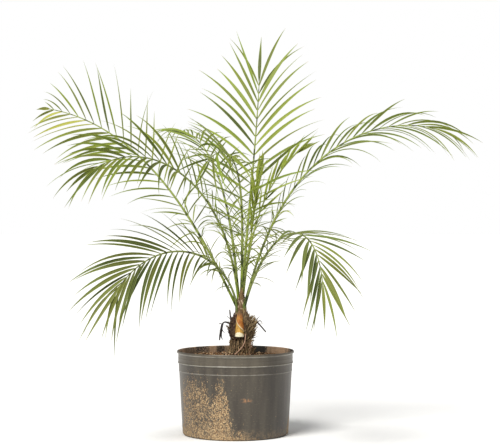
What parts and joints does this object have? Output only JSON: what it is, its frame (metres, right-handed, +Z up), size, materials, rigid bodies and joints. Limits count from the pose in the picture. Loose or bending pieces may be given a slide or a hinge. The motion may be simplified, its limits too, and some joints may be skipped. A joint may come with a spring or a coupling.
{
  "type": "potted pygmy date palm",
  "caption": "Young pygmy date palm with arching feather fronds, growing from a fibrous stem in a dark plastic nursery container filled with soil.",
  "frame": {"origin": "centre of the container's bottom face, on the surface that it stands on", "axes": "+Z up, the front of the plant faces -Y, +X to the right seen from the front"},
  "size_m": [1.1074, 0.9198, 1.0163],
  "materials": {
    "pot_plastic": "satin black-grey moulded plastic with dried mud",
    "soil": "rough, crumbly bark-based potting mix",
    "roots": "rough, stringy",
    "stem_bark": "matt, fibrous",
    "fibre": "rough, hairy",
    "cut_base": "matt, pale where cut",
    "dead_stalk": "matt, weathered",
    "leaf_green": "satin leaf",
    "leaf_dark": "satin leaf",
    "leaf_young": "satin leaf"
  },
  "bodies": {
    "root": {"frond_upright": "leaf_green", "frond_right": "leaf_green", "frond_low_right": "leaf_dark", "frond_low_left": "leaf_dark", "frond_far_left": "leaf_green", "frond_mid_left": "leaf_green", "frond_front": "leaf_green", "frond_behind": "leaf_green", "spear_leaf": "leaf_young", "young_leaf": "leaf_young", "nursery_pot": "pot_plastic", "potting_soil": "soil", "root_crown": "roots", "stem": "stem_bark", "fibre_sheath": "fibre", "cut_leaf_base": "cut_base", "dead_stalk_left": "dead_stalk", "dead_stalk_right": "dead_stalk", "dead_stalk_upright": "dead_stalk"}
  },
  "joints": []
}
